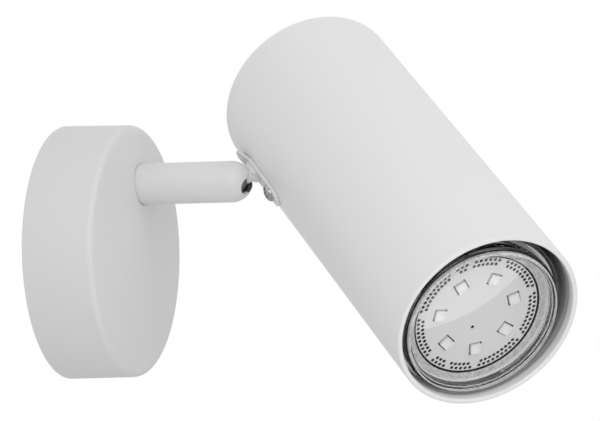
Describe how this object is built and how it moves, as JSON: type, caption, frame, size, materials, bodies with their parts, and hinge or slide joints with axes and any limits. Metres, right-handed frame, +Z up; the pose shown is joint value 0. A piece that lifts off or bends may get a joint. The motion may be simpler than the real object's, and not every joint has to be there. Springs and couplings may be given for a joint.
{
  "type": "wall spotlight",
  "caption": "Adjustable wall spotlight: round canopy, short straight arm with a slotted ball joint, and a plain tube shade round a twist-lock reflector bulb.",
  "frame": {"origin": "centre of the canopy's back rim on the wall, midway between the two wall slots", "axes": "+Y into the wall, -Y out along the arm, +Z up along the bracket's strip, +X to the right seen from the wall side"},
  "size_m": [0.1234, 0.1734, 0.1234],
  "materials": {
    "coat": "white powder coat, satin",
    "head_coat": "white powder coat, satin",
    "zinc": "zinc plated",
    "chrome": "polished",
    "brass": "plain",
    "spring": "drawn wire",
    "block": "moulded",
    "seat": "moulded nylon",
    "ceramic": "steatite, smooth",
    "sleeve": "silicone sleeve",
    "earth_sleeve": "silicone sleeve, green and yellow",
    "base": "smooth white",
    "glass": "clear",
    "cover": "white, perforated",
    "board": "white coated",
    "phosphor": "yellow phosphor"
  },
  "bodies": {
    "base": {"canopy": "coat", "wall_bracket": "zinc", "canopy_screws": "zinc", "lock_washer": "zinc", "terminal_block": "block", "terminal_tubes": "brass", "terminal_screws": "zinc", "block_screw": "zinc", "earth_screw": "brass", "canopy_leads": "sleeve", "earth_lead": "earth_sleeve"},
    "arm": {"arm_tube": "coat", "arm_bush": "zinc", "arm_nut": "zinc", "ball_seat": "seat", "seat_spring": "spring", "arm_leads": "sleeve"},
    "head": {"knuckle": "coat", "plate_screw": "chrome", "head_tube": "head_coat", "rear_cap": "head_coat", "holder_bracket": "zinc", "lamp_holder": "ceramic", "contact_springs": "brass", "holder_screws": "zinc", "head_leads": "sleeve"},
    "bulb": {"bulb_base": "base", "bulb_pins": "zinc", "bulb_glass": "glass", "bulb_lens": "glass", "led_cover": "cover", "led_board": "board", "led_chips": "phosphor"}
  },
  "joints": [
    {"name": "arm_swivel", "type": "hinge", "parent": "base", "child": "arm", "pos_m": [0, -0.024, 0.0211], "axis": [0, -1, 0], "range_deg": [-175, 175]},
    {"name": "head_tilt", "type": "hinge", "parent": "arm", "child": "head", "pos_m": [0, -0.0544, 0.0211], "axis": [-0.7071, 0, 0.7071], "range_deg": [-55.5, 48.5]},
    {"name": "bulb_twist", "type": "hinge", "parent": "head", "child": "bulb", "pos_m": [0.01583, -0.08358, 0.0358], "axis": [-0.5684, -0.5948, -0.5684], "range_deg": [0, 20]}
  ]
}
